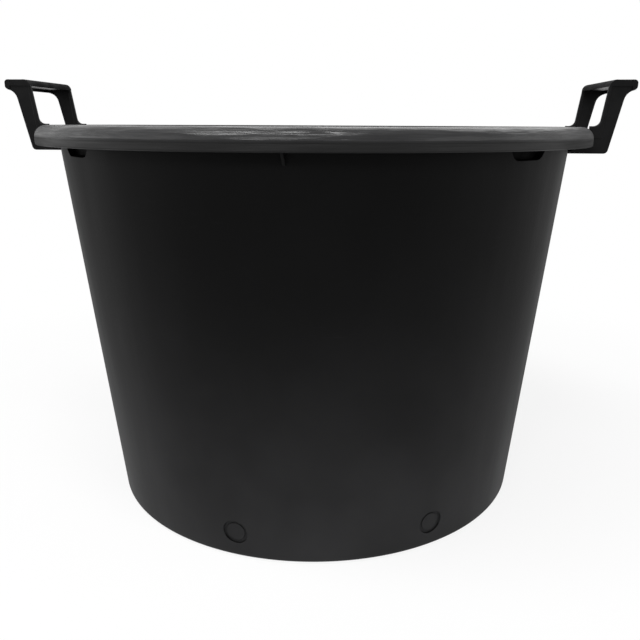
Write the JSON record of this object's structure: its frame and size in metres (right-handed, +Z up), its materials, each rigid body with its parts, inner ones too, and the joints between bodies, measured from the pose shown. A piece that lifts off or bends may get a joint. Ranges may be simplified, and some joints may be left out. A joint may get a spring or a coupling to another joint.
{
  "type": "mortar mixing tub",
  "caption": "Round tapered black plastic mixing tub with a rolled rim and clip-on grab handles that stand up on opposite sides.",
  "frame": {"origin": "middle of the base, on the ground", "axes": "+Z up, +X out through the right handle, -Y to the front, where a rim gusset stands"},
  "size_m": [0.672, 0.5998, 0.4592],
  "materials": {
    "tub_plastic": "matte moulded black plastic, with a glossier streaked rim",
    "handle_plastic": "satin moulded black plastic"
  },
  "bodies": {
    "root": {"tub_shell": "tub_plastic", "right_handle": "handle_plastic", "left_handle": "handle_plastic"}
  },
  "joints": []
}
